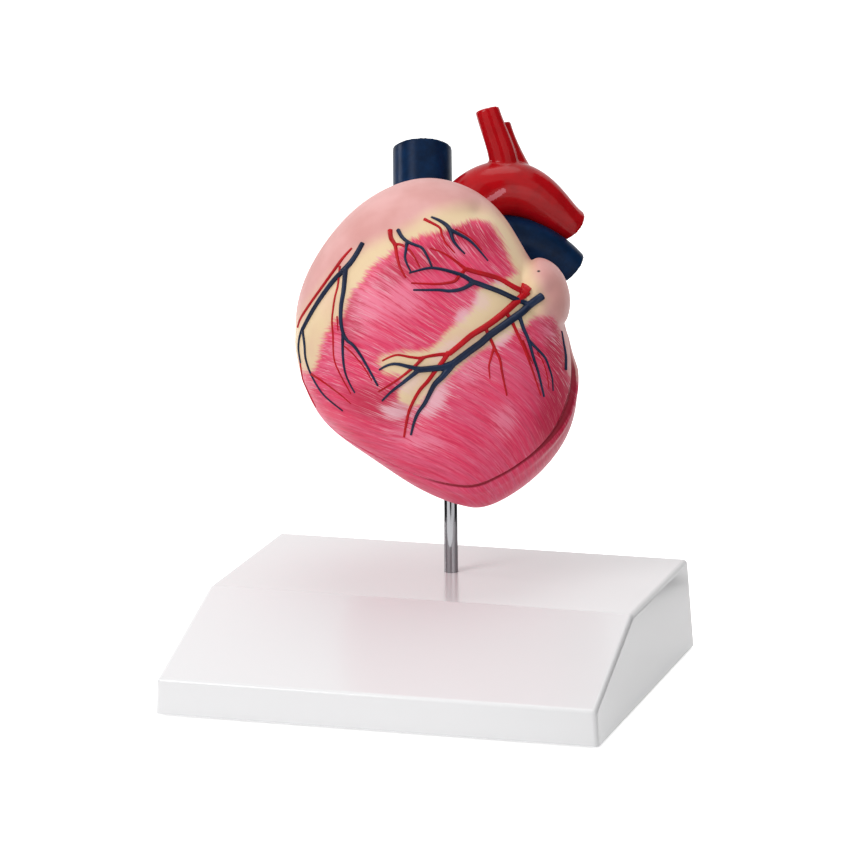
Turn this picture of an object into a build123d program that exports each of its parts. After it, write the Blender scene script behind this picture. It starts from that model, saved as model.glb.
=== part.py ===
# Life-size dog heart teaching model on a white moulded stand.
# The hollow stand holds an upright steel rod. The heart sits on the rod by a blind sleeve, turns on it and
# lifts off. The heart is two painted castings that meet on one sloping plane, held by magnets and dowel
# pins. The front half pulls off square to that plane and shows the chambers and valves.
#
# Frame: millimetres, +Z up, +X to the right, -Y towards the sloping front of the stand. The origin is the
# middle of the stand's underside, on the plane that the rubber feet rest on.
#
# The heart is drawn in a face frame of its own: x right, z up, y away from the viewer, with its zero where
# the rod meets the top of the stand. That frame is turned and leaned as the heart is mounted.
import math
import os
from build123d import *

# Stand
base_width = 160.0
base_depth = 136.0
base_height = 33.5
lip_height = 13.5
slope_run = 54.5
wall_lean = 2.0
base_wall = 2.6
base_edge_radius = 1.8
foot_radius = 5.5
foot_thickness = 2.0
foot_proud = 1.0
foot_inset = 14.0
foot_pad_thickness = 3.4
glue_gap = 0.1

# Rod, its boss in the stand and its screw
rod_radius = 2.5
rod_y = 27.0
rod_end_height = 92.0
rod_bevel = 0.5
rod_foot_height = 10.0
rod_fit = 0.05
rod_boss_radius = 8.0
rod_boss_floor = 3.0
gusset_thickness = 2.4
gusset_reach = 16.0
screw_radius = 1.5
screw_depth = 9.0
screw_head_radius = 2.8
screw_head_height = 2.0
screw_slot_width = 0.8
screw_slot_depth = 0.9
screw_play = 0.2
washer_radius = 4.2
washer_thickness = 0.8
tap_play = 0.04
tap_extra_depth = 2.0

# Sleeve in the heart
sleeve_wall = 1.5
sleeve_length = 33.0
sleeve_cap = 3.0
sleeve_fit = 0.05
socket_wall = 2.6
socket_roof = 3.0

# Heart. Places and half spans inside it are shares of its width, its depth and its height, and places
# are measured from its centre.
heart_width = 100.0
heart_height = 118.0
heart_front_depth = 42.0
heart_rear_depth = 41.0
heart_centre_x = -5.4
heart_centre_y = -20.0
heart_centre_z = 82.4
face_turn = 17.0
face_lean = 13.0
roundness = 2.2
auricle_size_share = (0.125, 0.253, 0.131)
auricle_place_share = (0.36, -0.096, 0.119)
rear_atrium_size_share = (0.17, 0.157, 0.11)
rear_atrium_place_share = (0.19, 0.301, 0.186)

# Plane where the halves meet: its depth at the heart's centre and its rise per unit along z and x
seam_depth = 0.7
seam_rise_share = 0.42
seam_slant_share = -0.175
seam_gap = 0.2

# Outline of the heart in the photograph, clockwise from the apex, with the middle and the span it is
# measured against, all in pixels
outline_centre_px = (436, 341)
outline_span_px = (280, 330)
outline_px = [
    (469, 506), (423, 489), (371, 455), (326, 419), (303, 372), (297, 328), (308, 277), (342, 226),
    (391, 188), (430, 178), (472, 188), (505, 213), (530, 253), (559, 301), (572, 345), (578, 391),
    (569, 432), (543, 469), (508, 496),
]
# Slices of the heart, as shares of its half depth
slice_shares = (0.3, 0.6, 0.8, 0.93, 0.985)

# Chambers: tilts turn about y
left_ventricle_size_share = (0.14, 0.313, 0.203)
left_ventricle_place_share = (0.21, -0.024, -0.136)
left_ventricle_tilt = -24.0
septum_thickness = 8.5
right_ventricle_size_share = (0.22, 0.398, 0.246)
right_ventricle_place_share = (-0.19, 0.012, -0.076)
right_ventricle_tilt = -20.0
right_atrium_size_share = (0.13, 0.169, 0.085)
right_atrium_place_share = (-0.18, 0.12, 0.263)
right_pocket_size_share = (0.08, 0.09, 0.05)
right_pocket_place_share = (-0.16, -0.02, 0.24)
left_atrium_size_share = (0.125, 0.157, 0.081)
left_atrium_place_share = (0.2, 0.241, 0.169)
tricuspid_place_share = (-0.185, 0.235, 0.144)
mitral_place_share = (0.19, 0.217, 0.068)
valve_radius = 7.5
valve_passage = 26.0
outflow_radius = 5.5
aortic_outflow_shares = [(0.12, 0.048, -0.017), (0.03, 0.193, 0.169), (0.08, 0.313, 0.347)]
pulmonary_outflow_shares = [(-0.08, -0.169, 0.085), (0.08, -0.096, 0.237), (0.24, 0.169, 0.318)]

# Valves and cords
leaflet_thickness = 0.9
leaflet_length = 10.0
leaflet_slit = 1.2
leaflet_taper_share = 0.62
valve_ring_height = 2.0
valve_seat = 0.05
cusp_length = 6.0
papillary_root_radius = 4.0
papillary_tip_radius = 2.0
cord_radius = 0.45
cord_spread_angle = 40.0
left_papillary_root_shares = [(0.27, 0.181, -0.288), (0.35, 0.169, -0.22)]
left_papillary_tip_shares = [(0.195, 0.193, -0.11), (0.245, 0.181, -0.102)]
right_papillary_root_shares = [(-0.08, 0.241, -0.28), (-0.36, 0.253, -0.186)]
right_papillary_tip_shares = [(-0.16, 0.205, -0.051), (-0.22, 0.217, -0.034)]

# Magnets and dowel pins, placed on the seam plane by shares of the width and the height
magnet_radius = 3.0
magnet_thickness = 2.5
magnet_place_shares = [(0.09, -0.347), (0.02, -0.144), (-0.04, 0.373)]
dowel_radius = 1.5
dowel_hold = 5.0
dowel_reach = 4.0
dowel_play = 0.15
dowel_place_shares = [(-0.45, -0.051), (0.41, -0.127)]

# Great vessels: centre lines, and radii along them
vessel_wall = 2.0
vessel_bore_depth = 14.0
vessel_keep_off = 0.35
vena_cava_path_shares = [(-0.034, 0.313, 0.186), (-0.034, 0.524, 0.602)]
vena_cava_radius = 10.8
arch_path_shares = [
    (0.135, 0.313, 0.288), (0.149, 0.337, 0.431), (0.295, 0.343, 0.468),
    (0.408, 0.373, 0.424), (0.502, 0.434, 0.358),
]
arch_radii = (9.0, 10.5, 10.2, 8.4, 6.8)
brachiocephalic_path_shares = [
    (0.258, 0.337, 0.483), (0.258, 0.337, 0.559), (0.23, 0.337, 0.64),
    (0.202, 0.343, 0.714),
]
brachiocephalic_radii = (6.5, 5.2, 4.7, 4.4)
subclavian_path_shares = [
    (0.315, 0.373, 0.487), (0.294, 0.386, 0.551), (0.266, 0.398, 0.623),
    (0.25, 0.404, 0.672),
]
subclavian_radii = (7.0, 5.0, 4.0, 3.8)
pulmonary_path_shares = [
    (0.24, 0.313, 0.322), (0.34, 0.349, 0.305), (0.425, 0.373, 0.271),
    (0.503, 0.404, 0.224),
]
pulmonary_radii = (8.6, 8.4, 7.8, 6.6)
caudal_cava_path_shares = [(-0.18, 0.289, 0.169), (-0.22, 0.602, 0.093)]
caudal_cava_radius = 8.0
pulmonary_vein_radius = 4.2
pulmonary_vein_path_shares = [
    [(0.1, 0.313, 0.203), (0.09, 0.566, 0.195)],
    [(0.19, 0.313, 0.229), (0.2, 0.578, 0.263)],
    [(0.29, 0.313, 0.186), (0.35, 0.542, 0.169)],
]

# Coronary vessels: height of their relief, and routes in photograph pixels with the width in mm at the
# start and at the end of each
artery_relief = 0.9
vein_relief = 1.2
left_artery_px = [
    [(527, 291), (526, 292)],
    [(527, 292), (515, 303), (505, 312), (485, 327), (472, 335), (460, 345), (449, 353)],
    [(449, 353), (430, 356), (420, 358), (408, 357), (397, 355), (384, 360)],
    [(422, 358), (416, 365), (409, 371), (400, 378), (388, 386), (379, 391)],
    [(449, 354), (443, 361), (435, 371), (428, 380), (420, 390), (413, 402), (408, 415), (404, 435)],
    [(485, 328), (489, 336), (495, 349), (500, 360), (502, 372), (507, 394)],
    [(494, 349), (491, 358), (489, 365), (490, 377)],
    [(507, 314), (512, 322), (523, 346), (533, 372), (540, 394)],
    [(526, 291), (512, 285), (500, 279), (484, 274), (468, 270)],
    [(468, 270), (458, 263), (445, 254), (431, 249)],
    [(466, 272), (457, 281), (447, 283), (435, 284), (412, 283)],
]
left_artery_widths = [
    (4.4, 4.4), (2.8, 1.7), (1.3, 0.5), (1.4, 0.5), (1.6, 0.8), (1.2, 0.4), (0.9, 0.3), (1.3, 0.4),
    (1.3, 1.3), (1.0, 0.4), (1.1, 0.4),
]
left_vein_px = [
    [(541, 297), (521, 313), (500, 328), (483, 341), (470, 351), (450, 366)],
    [(450, 366), (437, 368), (418, 370)],
    [(418, 370), (408, 367), (398, 364), (390, 365), (381, 369)],
    [(418, 371), (410, 377), (400, 385), (391, 392), (384, 399)],
    [(451, 367), (443, 376), (434, 386), (425, 403), (418, 413), (411, 432)],
    [(525, 304), (514, 299), (500, 292), (486, 286), (472, 282)],
    [(472, 282), (463, 276), (452, 272), (440, 269), (430, 268), (411, 272)],
    [(471, 284), (462, 289), (450, 291), (437, 290), (416, 290)],
    [(520, 315), (523, 328), (530, 345), (534, 360), (543, 394)],
    [(529, 342), (538, 350), (548, 366), (553, 388)],
]
left_vein_widths = [
    (2.9, 2.1), (2.3, 1.7), (1.5, 0.5), (1.5, 0.6), (2.3, 0.6), (1.6, 1.6), (1.4, 0.5), (1.3, 0.5),
    (1.4, 0.5), (1.1, 0.4),
]
right_artery_px = [
    [(352, 249), (343, 258), (338, 265), (330, 276), (320, 290), (311, 304)],
    [(340, 266), (338, 285), (333, 310), (333, 335), (334, 358), (340, 374), (350, 392)],
    [(314, 376), (322, 381), (333, 389), (349, 402)],
    [(390, 231), (392, 239), (396, 247), (397, 257), (400, 268), (405, 277)],
    [(396, 244), (407, 248), (419, 265)],
    [(425, 220), (433, 223), (440, 227), (443, 239), (453, 251)],
    [(452, 228), (463, 233), (473, 241), (481, 249)],
]
right_artery_widths = [(0.9, 0.8), (0.9, 0.4), (0.9, 0.4), (1.6, 0.4), (0.9, 0.4), (0.9, 0.4), (0.7, 0.3)]
right_vein_px = [
    [(362, 245), (357, 254), (351, 264), (344, 271)],
    [(344, 271), (334, 281), (322, 297), (312, 313), (304, 328)],
    [(346, 271), (344, 290), (341, 305), (341, 320), (343, 332), (354, 346), (362, 358), (377, 384)],
    [(344, 338), (343, 355), (344, 370), (354, 390)],
    [(398, 231), (402, 237), (409, 243), (421, 248), (427, 256), (432, 266)],
    [(407, 243), (405, 255), (410, 270)],
    [(433, 218), (441, 221), (450, 230), (453, 241), (463, 252)],
    [(451, 231), (462, 236), (470, 241), (486, 258)],
]
right_vein_widths = [
    (1.2, 1.5), (1.3, 1.0), (1.2, 0.4), (0.8, 0.4), (1.4, 0.5), (1.1, 0.4), (0.8, 0.5), (1.5, 0.4),
]
# Vessels of the rear face, drawn on the same pixel grid as seen through the heart from the front
rear_artery_px = [
    [(400, 292), (424, 306), (440, 326), (454, 360), (472, 402), (494, 444)],
    [(440, 326), (424, 354), (410, 384), (406, 402)],
    [(454, 360), (486, 378), (510, 404)],
    [(472, 402), (460, 430), (452, 458)],
    [(424, 306), (396, 330), (372, 362)],
]
rear_artery_widths = [(2.0, 0.6), (1.2, 0.4), (1.2, 0.4), (1.0, 0.4), (1.2, 0.4)]
rear_vein_px = [
    [(392, 278), (436, 290), (492, 296), (540, 318)],
    [(436, 292), (456, 322), (470, 356), (488, 398), (508, 436)],
    [(456, 322), (492, 342), (524, 372)],
    [(488, 398), (516, 410), (534, 428)],
]
rear_vein_widths = [(3.6, 2.2), (2.2, 0.6), (1.3, 0.4), (1.0, 0.4)]

overrun = 1.0
face_reach = 150.0

origin_height = 0.0
face_frame = Pos(0, rod_y, base_height) * Rot(0, 0, face_turn) * Rot(-face_lean, 0, 0)
heart_centre = Vector(heart_centre_x, heart_centre_y, heart_centre_z)


def from_centre(x, y, z):
    """A place measured from the heart's centre, in the face frame."""
    return heart_centre + Vector(x, y, z)


def in_heart(shares):
    """Lengths from shares of the heart's width, depth and height."""
    spans = (heart_width, heart_front_depth + heart_rear_depth, heart_height)
    return tuple(share * span for share, span in zip(shares, spans))


def heart_point(shares):
    """A place from shares of the heart's width, depth and height."""
    return from_centre(*in_heart(shares))


def face_point(pixel):
    """x and z from the heart's centre, for a pixel of the photograph."""
    across = (pixel[0] - outline_centre_px[0]) / outline_span_px[0]
    up = (outline_centre_px[1] - pixel[1]) / outline_span_px[1]
    return across * heart_width, up * heart_height


def seam_y(x, z):
    """Depth of the seam plane, from the heart's centre."""
    return seam_depth + seam_rise_share * z + seam_slant_share * x


seam_normal = Vector(seam_slant_share, -1, seam_rise_share).normalized()


def seam_plane(offset):
    """The seam plane, moved towards the viewer by the offset, with its normal that way."""
    return Plane(origin=from_centre(0, seam_depth, 0) + seam_normal * offset, z_dir=seam_normal)


def placed(shape):
    """Moves a shape from the face frame to where the heart is mounted."""
    return face_frame * shape


def tidy(shape):
    """One part from whatever solids the last operation left."""
    return Part(children=[]) + list(shape.solids())


def tube(path, radii):
    """A round bar along a smooth path, whose radius follows the given list."""
    points = [heart_point(p) for p in path]
    if len(points) == 2:
        line = Line(*points)
    else:
        line = Spline(*points)
    rings = []
    for i, radius in enumerate(radii):
        share = i / (len(radii) - 1)
        at = line.position_at(share) if len(points) == 2 else points[i]
        along = line.tangent_at(share if len(points) == 2 else line.param_at_point(points[i]))
        rings.append(Plane(origin=at, z_dir=along) * Circle(radius))
    return loft(rings)


def ellipsoid(place, size, tilt, extra=0):
    """A smooth hollow or swelling, with a thickness added all round."""
    half_spans = tuple(span + extra for span in in_heart(size))
    return Pos(*heart_point(place)) * Rot(0, tilt, 0) * scale(Sphere(1), by=half_spans)


# Stand


def base_block(inset, floor):
    """The outer or inner block of the stand: sloping front, upright lip, walls that lean in a little."""
    half_depth = base_depth / 2 - inset
    top = base_height - inset
    lip = lip_height - inset * math.tan(math.atan2(base_height - lip_height, slope_run) / 2)
    front_top = half_depth - slope_run
    profile = make_face(
        Plane.YZ
        * Polyline(
            (-half_depth, floor),
            (half_depth, floor),
            (half_depth - wall_lean * (top - floor) / base_height, top),
            (-front_top, top),
            (-half_depth, lip),
            close=True,
        )
    )
    block = extrude(profile, amount=base_width / 2, both=True)
    bottom = Pos(0, 0, floor) * Rectangle(base_width - 2 * inset, 2 * base_depth)
    lid_width = base_width - 2 * inset - 2 * wall_lean
    lid = Pos(0, 0, base_height) * Rectangle(lid_width, 2 * base_depth)
    return block & loft([bottom, lid], ruled=True)


def foot_places():
    """Centres of the four feet."""
    x = base_width / 2 - foot_inset
    y = base_depth / 2 - foot_inset
    return [(x, y), (-x, y), (x, -y), (-x, -y)]


def base_housing():
    """Hollow moulding with a boss for the rod, gussets round it and a pad in each corner."""
    outer = base_block(0, foot_proud)
    outer = fillet(outer.edges().filter_by(lambda e: e.center().Z > foot_proud + overrun), base_edge_radius)
    hollow = base_block(base_wall, foot_proud - overrun)
    shell = outer - hollow
    boss_bottom = rod_foot_height - rod_boss_floor
    boss_height = base_height - boss_bottom - base_wall / 2
    boss = Pos(0, rod_y, boss_bottom) * extrude(Circle(rod_boss_radius), boss_height)
    gusset_top = base_height - base_wall / 2
    gussets = []
    for angle in (0, 90):
        profile = Polyline(
            (-rod_boss_radius - gusset_reach, gusset_top),
            (-rod_boss_radius, boss_bottom),
            (rod_boss_radius, boss_bottom),
            (rod_boss_radius + gusset_reach, gusset_top),
            close=True,
        )
        web = extrude(make_face(Plane.XZ * profile), amount=gusset_thickness / 2, both=True)
        gussets.append(Pos(0, rod_y, 0) * Rot(0, 0, angle) * web)
    pads = []
    for x, y in foot_places():
        reach = foot_inset
        pad = Pos(x, y, foot_proud + foot_pad_thickness / 2)
        pads.append(pad * Box(2 * reach, 2 * reach, foot_pad_thickness) & outer)
    housing = shell + boss + gussets + pads
    for x, y in foot_places():
        recess = Pos(x, y, foot_proud - overrun)
        housing -= recess * extrude(Circle(foot_radius + glue_gap), foot_thickness - foot_proud + overrun)
    rod_hole = Pos(0, rod_y, rod_foot_height) * extrude(Circle(rod_radius + rod_fit), base_height)
    screw_hole = Pos(0, rod_y, origin_height) * extrude(Circle(screw_radius + screw_play), base_height)
    return housing - rod_hole - screw_hole


def rubber_feet():
    """Four glued rubber discs."""
    return Part() + [Pos(x, y) * extrude(Circle(foot_radius), foot_thickness) for x, y in foot_places()]


def support_rod():
    """Polished rod with a tapped foot and a bevelled top."""
    rod = Pos(0, rod_y, rod_foot_height) * extrude(Circle(rod_radius), rod_end_height - rod_foot_height)
    rod = chamfer(rod.edges().sort_by(Axis.Z)[-1], rod_bevel)
    tapped = Pos(0, rod_y, rod_foot_height)
    return rod - tapped * extrude(Circle(screw_radius + tap_play), screw_depth + tap_extra_depth)


def rod_washer():
    """Flat washer under the boss."""
    ring = Circle(washer_radius) - Circle(screw_radius + screw_play)
    bottom = rod_foot_height - rod_boss_floor - washer_thickness
    return Pos(0, rod_y, bottom) * extrude(ring, washer_thickness)


def rod_screw():
    """Slotted cheese-head screw that pulls the rod down on the boss."""
    under_head = rod_foot_height - rod_boss_floor - washer_thickness
    shank_length = rod_foot_height - under_head + screw_depth
    shank = Pos(0, rod_y, under_head) * extrude(Circle(screw_radius), shank_length)
    head_place = Pos(0, rod_y, under_head - screw_head_height)
    head = head_place * extrude(Circle(screw_head_radius), screw_head_height)
    slot = Box(3 * screw_head_radius, screw_slot_width, 2 * screw_slot_depth)
    return shank + head - head_place * slot


# Heart body


def heart_slice(share, depth, extra):
    """One slice of the heart's body across the line of sight, at a share of the half depth."""
    size = (1 - abs(share) ** roundness) ** (1 / roundness)
    points = []
    for pixel in outline_px:
        x, z = face_point(pixel)
        points.append((x * size * (1 + 2 * extra / heart_width), z * size * (1 + 2 * extra / heart_height)))
    plane = Plane(origin=from_centre(0, share * (depth + extra), 0), x_dir=(1, 0, 0), z_dir=(0, -1, 0))
    return make_face(plane * Spline(*points, periodic=True))


def heart_body(extra):
    """The whole heart without its vessels, with the same thickness added all round."""
    front = [heart_slice(-s, heart_front_depth, extra) for s in reversed(slice_shares)]
    rear = [heart_slice(s, heart_rear_depth, extra) for s in slice_shares]
    front_tip = Vertex(*from_centre(0, -heart_front_depth - extra, 0))
    rear_tip = Vertex(*from_centre(0, heart_rear_depth + extra, 0))
    middle = heart_slice(0, heart_front_depth, extra)
    body = loft([front_tip] + front + [middle] + rear + [rear_tip])
    body += ellipsoid(auricle_place_share, auricle_size_share, 0, extra)
    body += ellipsoid(rear_atrium_place_share, rear_atrium_size_share, 0, extra)
    return body


def valve_axis(place, target):
    """Plane of a valve's mouth, facing the chamber below it."""
    start = heart_point(place)
    return Plane(origin=start, z_dir=heart_point(target) - start)


tricuspid_plane = valve_axis(tricuspid_place_share, right_papillary_tip_shares[0])
mitral_plane = valve_axis(mitral_place_share, left_papillary_tip_shares[0])


def outflow(path):
    """A passage from a ventricle to its great vessel."""
    points = [heart_point(p) for p in path]
    line = Spline(*points)
    start = Plane(origin=line @ 0, z_dir=line % 0)
    return sweep(start * Circle(outflow_radius), path=line)


def ventricle_spaces():
    """Hollows of the two ventricles, with the septum left standing between them."""
    left_shape = (left_ventricle_place_share, left_ventricle_size_share, left_ventricle_tilt)
    left = ellipsoid(*left_shape)
    wall = ellipsoid(*left_shape, septum_thickness)
    right = ellipsoid(right_ventricle_place_share, right_ventricle_size_share, right_ventricle_tilt) - wall
    return left, right


def chamber_spaces():
    """Everything that is hollow inside the closed heart."""
    left, right = ventricle_spaces()
    spaces = [left, right]
    # the passages come before the atria, so that each atrium opens into one and is never a closed void
    for plane in (tricuspid_plane, mitral_plane):
        spaces.append(plane * Pos(0, 0, -valve_passage / 2) * extrude(Circle(valve_radius), valve_passage))
    right_atrium = ellipsoid(right_atrium_place_share, right_atrium_size_share, 0)
    spaces.append(right_atrium + ellipsoid(right_pocket_place_share, right_pocket_size_share, 0))
    spaces.append(ellipsoid(left_atrium_place_share, left_atrium_size_share, 0))
    spaces.append(outflow(aortic_outflow_shares))
    spaces.append(outflow(pulmonary_outflow_shares))
    return spaces


def rod_socket():
    """Solid column round the sleeve and the blind bore for it, both upright on the mounted heart."""
    sleeve_radius = rod_radius + rod_fit + sleeve_wall
    top = rod_end_height + sleeve_cap
    foot = Pos(0, rod_y, base_height)
    column = foot * extrude(Circle(sleeve_radius + socket_wall), top + socket_roof - base_height)
    bore = foot * extrude(Circle(sleeve_radius + sleeve_fit), top - base_height)
    return face_frame.inverse() * column, face_frame.inverse() * bore


def rod_sleeve():
    """Blind plastic sleeve on the rod's end."""
    top = rod_end_height + sleeve_cap
    outer = extrude(Circle(rod_radius + rod_fit + sleeve_wall), sleeve_length)
    inner = extrude(Circle(rod_radius + rod_fit), sleeve_length - sleeve_cap)
    return Pos(0, rod_y, top - sleeve_length) * (outer - inner)


def on_seam(place, offset):
    """A plane on the seam at shares of the width and the height, moved towards the viewer."""
    x, z = place[0] * heart_width, place[1] * heart_height
    return Plane(origin=from_centre(x, seam_y(x, z), z) + seam_normal * offset, z_dir=seam_normal)


def disc_on_seam(place, offset, radius, length):
    """A round bar square to the seam, that starts at the offset and runs towards the viewer."""
    return on_seam(place, offset) * extrude(Circle(radius), length)


def heart_halves(body):
    """The rear and front castings."""
    column, bore = rod_socket()
    casting = body
    for space in chamber_spaces():
        casting -= space - column
    casting -= bore
    half_gap = seam_gap / 2
    rear = split(casting, bisect_by=seam_plane(-half_gap), keep=Keep.BOTTOM)
    front = split(casting, bisect_by=seam_plane(half_gap), keep=Keep.TOP)
    for place in magnet_place_shares:
        rear -= disc_on_seam(place, -half_gap - magnet_thickness, magnet_radius, magnet_thickness + overrun)
        front -= disc_on_seam(place, half_gap - overrun, magnet_radius, magnet_thickness + overrun)
    hole_length = dowel_reach + dowel_play + overrun
    for place in dowel_place_shares:
        rear -= disc_on_seam(place, -half_gap - dowel_hold, dowel_radius, dowel_hold + overrun)
        front -= disc_on_seam(place, half_gap - overrun, dowel_radius + dowel_play, hole_length)
    return placed(tidy(rear)), placed(tidy(front))


def magnets(front_side):
    """Disc magnets of one half, flush with its cut face."""
    start = seam_gap / 2 if front_side else -seam_gap / 2 - magnet_thickness
    discs = [disc_on_seam(place, start, magnet_radius, magnet_thickness) for place in magnet_place_shares]
    return placed(Part() + discs)


def dowel_pins():
    """Pins held in the rear half that line up the front one."""
    start = -seam_gap / 2 - dowel_hold
    length = dowel_hold + seam_gap + dowel_reach
    pins = [disc_on_seam(place, start, dowel_radius, length) for place in dowel_place_shares]
    return placed(Part() + pins)


# Valves, papillary muscles and cords


def leaflet_valve(plane, leaves):
    """A ring with hanging leaflets, parted by slits."""
    radius = valve_radius - valve_seat
    low = radius * leaflet_taper_share
    ring = extrude(Circle(radius) - Circle(radius - leaflet_thickness), valve_ring_height)
    outer = Cone(radius, low, leaflet_length, align=(Align.CENTER, Align.CENTER, Align.MIN))
    inner = Cone(
        radius - leaflet_thickness,
        low - leaflet_thickness,
        leaflet_length,
        align=(Align.CENTER, Align.CENTER, Align.MIN),
    )
    skirt = Pos(0, 0, valve_ring_height) * (outer - inner)
    for i in range(leaves):
        slit = Box(2 * radius, leaflet_slit, leaflet_length, align=(Align.MIN, Align.CENTER, Align.MIN))
        skirt -= Rot(0, 0, 360 * i / leaves) * Pos(0, 0, 2 * valve_ring_height) * slit
    return placed(plane * (ring + skirt))


def cusp_valve(path):
    """Three pocket cusps across an outflow passage."""
    line = Spline(*[heart_point(p) for p in path])
    plane = Plane(origin=line @ 0.5, z_dir=line % 0.5)
    radius = outflow_radius - valve_seat
    ring = extrude(Circle(radius) - Circle(radius - leaflet_thickness), valve_ring_height)
    low = leaflet_thickness
    outer = Cone(radius, 2 * low, cusp_length, align=(Align.CENTER, Align.CENTER, Align.MIN))
    inner = Cone(radius - leaflet_thickness, low, cusp_length, align=(Align.CENTER, Align.CENTER, Align.MIN))
    pockets = outer - inner
    for i in range(3):
        slit = Box(2 * radius, leaflet_slit, cusp_length, align=(Align.MIN, Align.CENTER, Align.MIN))
        pockets -= Rot(0, 0, 120 * i) * Pos(0, 0, valve_ring_height) * slit
    return placed(plane * (ring + pockets))


def papillary_muscles(roots, tips, space):
    """Tapering pillars that stand on the wall of a ventricle."""
    pillars = []
    for root, tip in zip(roots, tips):
        start = heart_point(root)
        end = heart_point(tip)
        along = end - start
        cone = Plane(origin=start, z_dir=along) * Cone(
            papillary_root_radius,
            papillary_tip_radius,
            along.length,
            align=(Align.CENTER, Align.CENTER, Align.MIN),
        )
        pillars.append(cone & space)
    return placed(Part() + pillars)


def heart_cords(plane, tips, neighbours):
    """Cords from each pillar's tip to the free edge of the leaflets."""
    radius = (valve_radius - valve_seat) * leaflet_taper_share - leaflet_thickness / 2
    edge_height = valve_ring_height + leaflet_length
    cords = []
    for index, tip in enumerate(tips):
        start = heart_point(tip)
        for step in (-1, 0, 1):
            angle = math.radians(180 * index + 90 + cord_spread_angle * step)
            edge = plane.from_local_coords((radius * math.cos(angle), radius * math.sin(angle), edge_height))
            span = Vector(edge) - start
            cords.append(Plane(origin=start, z_dir=span) * extrude(Circle(cord_radius), span.length))
    bundle = placed(Part() + cords)
    for neighbour in neighbours:
        bundle -= neighbour
    return bundle


# Great vessels


def vessel_end_bore(path, radius):
    """The open bore at the cut end of a vessel."""
    end = heart_point(path[-1])
    back = (heart_point(path[-2]) - end).normalized()
    start = end - back * overrun
    depth = vessel_bore_depth + overrun
    return Plane(origin=start, z_dir=back) * extrude(Circle(radius - vessel_wall), depth)


def great_vessels(body, keep_off):
    """Vena cavae, aorta and pulmonary vessels, each seated on the rear half."""
    cranial_bar = tube(vena_cava_path_shares, (vena_cava_radius, vena_cava_radius))
    cranial = cranial_bar - vessel_end_bore(vena_cava_path_shares, vena_cava_radius)
    caudal = tube(caudal_cava_path_shares, (caudal_cava_radius, caudal_cava_radius))
    caudal -= vessel_end_bore(caudal_cava_path_shares, caudal_cava_radius)
    arch = tube(arch_path_shares, arch_radii)
    branches = (
        (brachiocephalic_path_shares, brachiocephalic_radii),
        (subclavian_path_shares, subclavian_radii),
    )
    for path, radii in branches:
        arch += tube(path, radii)
        arch -= vessel_end_bore(path, radii[-1])
    arch -= vessel_end_bore(arch_path_shares, arch_radii[-1])
    arch -= cranial_bar
    trunk = tube(pulmonary_path_shares, pulmonary_radii)
    trunk -= vessel_end_bore(pulmonary_path_shares, pulmonary_radii[-1])
    trunk -= arch
    veins = []
    for path in pulmonary_vein_path_shares:
        vein = tube(path, (pulmonary_vein_radius, pulmonary_vein_radius))
        veins.append(vein - vessel_end_bore(path, pulmonary_vein_radius) - arch - cranial_bar)
    raw = {
        "cranial_vena_cava": cranial,
        "caudal_vena_cava": caudal,
        "aortic_arch": arch,
        "pulmonary_trunk": trunk,
        "pulmonary_veins": Part() + veins,
    }
    seated = {}
    for name, shape in raw.items():
        outside = shape - body - keep_off
        solids = sorted(outside.solids(), key=lambda s: s.volume)
        count = len(pulmonary_vein_path_shares) if name == "pulmonary_veins" else 1
        seated[name] = placed(Part() + solids[-count:])
    return seated


# Coronary vessels


def ribbon(route, widths):
    """A tapering strip along a route, on the face plane."""
    points = [Vector(*face_point(p), 0) for p in route]
    left, right = [], []
    for i, point in enumerate(points):
        before = points[max(i - 1, 0)]
        after = points[min(i + 1, len(points) - 1)]
        along = (after - before).normalized()
        across = Vector(-along.Y, along.X, 0)
        width = widths[0] + (widths[1] - widths[0]) * i / (len(points) - 1)
        left.append(point + across * width / 2)
        right.append(point - across * width / 2)
    outline = [(p.X, p.Y) for p in left + right[::-1]]
    strip = Sketch() + make_face(Polyline(*outline, close=True))
    return strip + Pos(points[0].X, points[0].Y) * Circle(widths[0] / 2)


def coronary_tree(routes, widths, skin, towards_viewer):
    """Relief of one tree of vessels on the heart's skin."""
    pattern = Sketch() + [ribbon(route, width) for route, width in zip(routes, widths)]
    facing = -1 if towards_viewer else 1
    plane = Plane(origin=heart_centre, x_dir=(1, 0, 0), z_dir=(0, -1, 0))
    return extrude(plane * pattern, amount=-facing * face_reach) & skin


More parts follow.
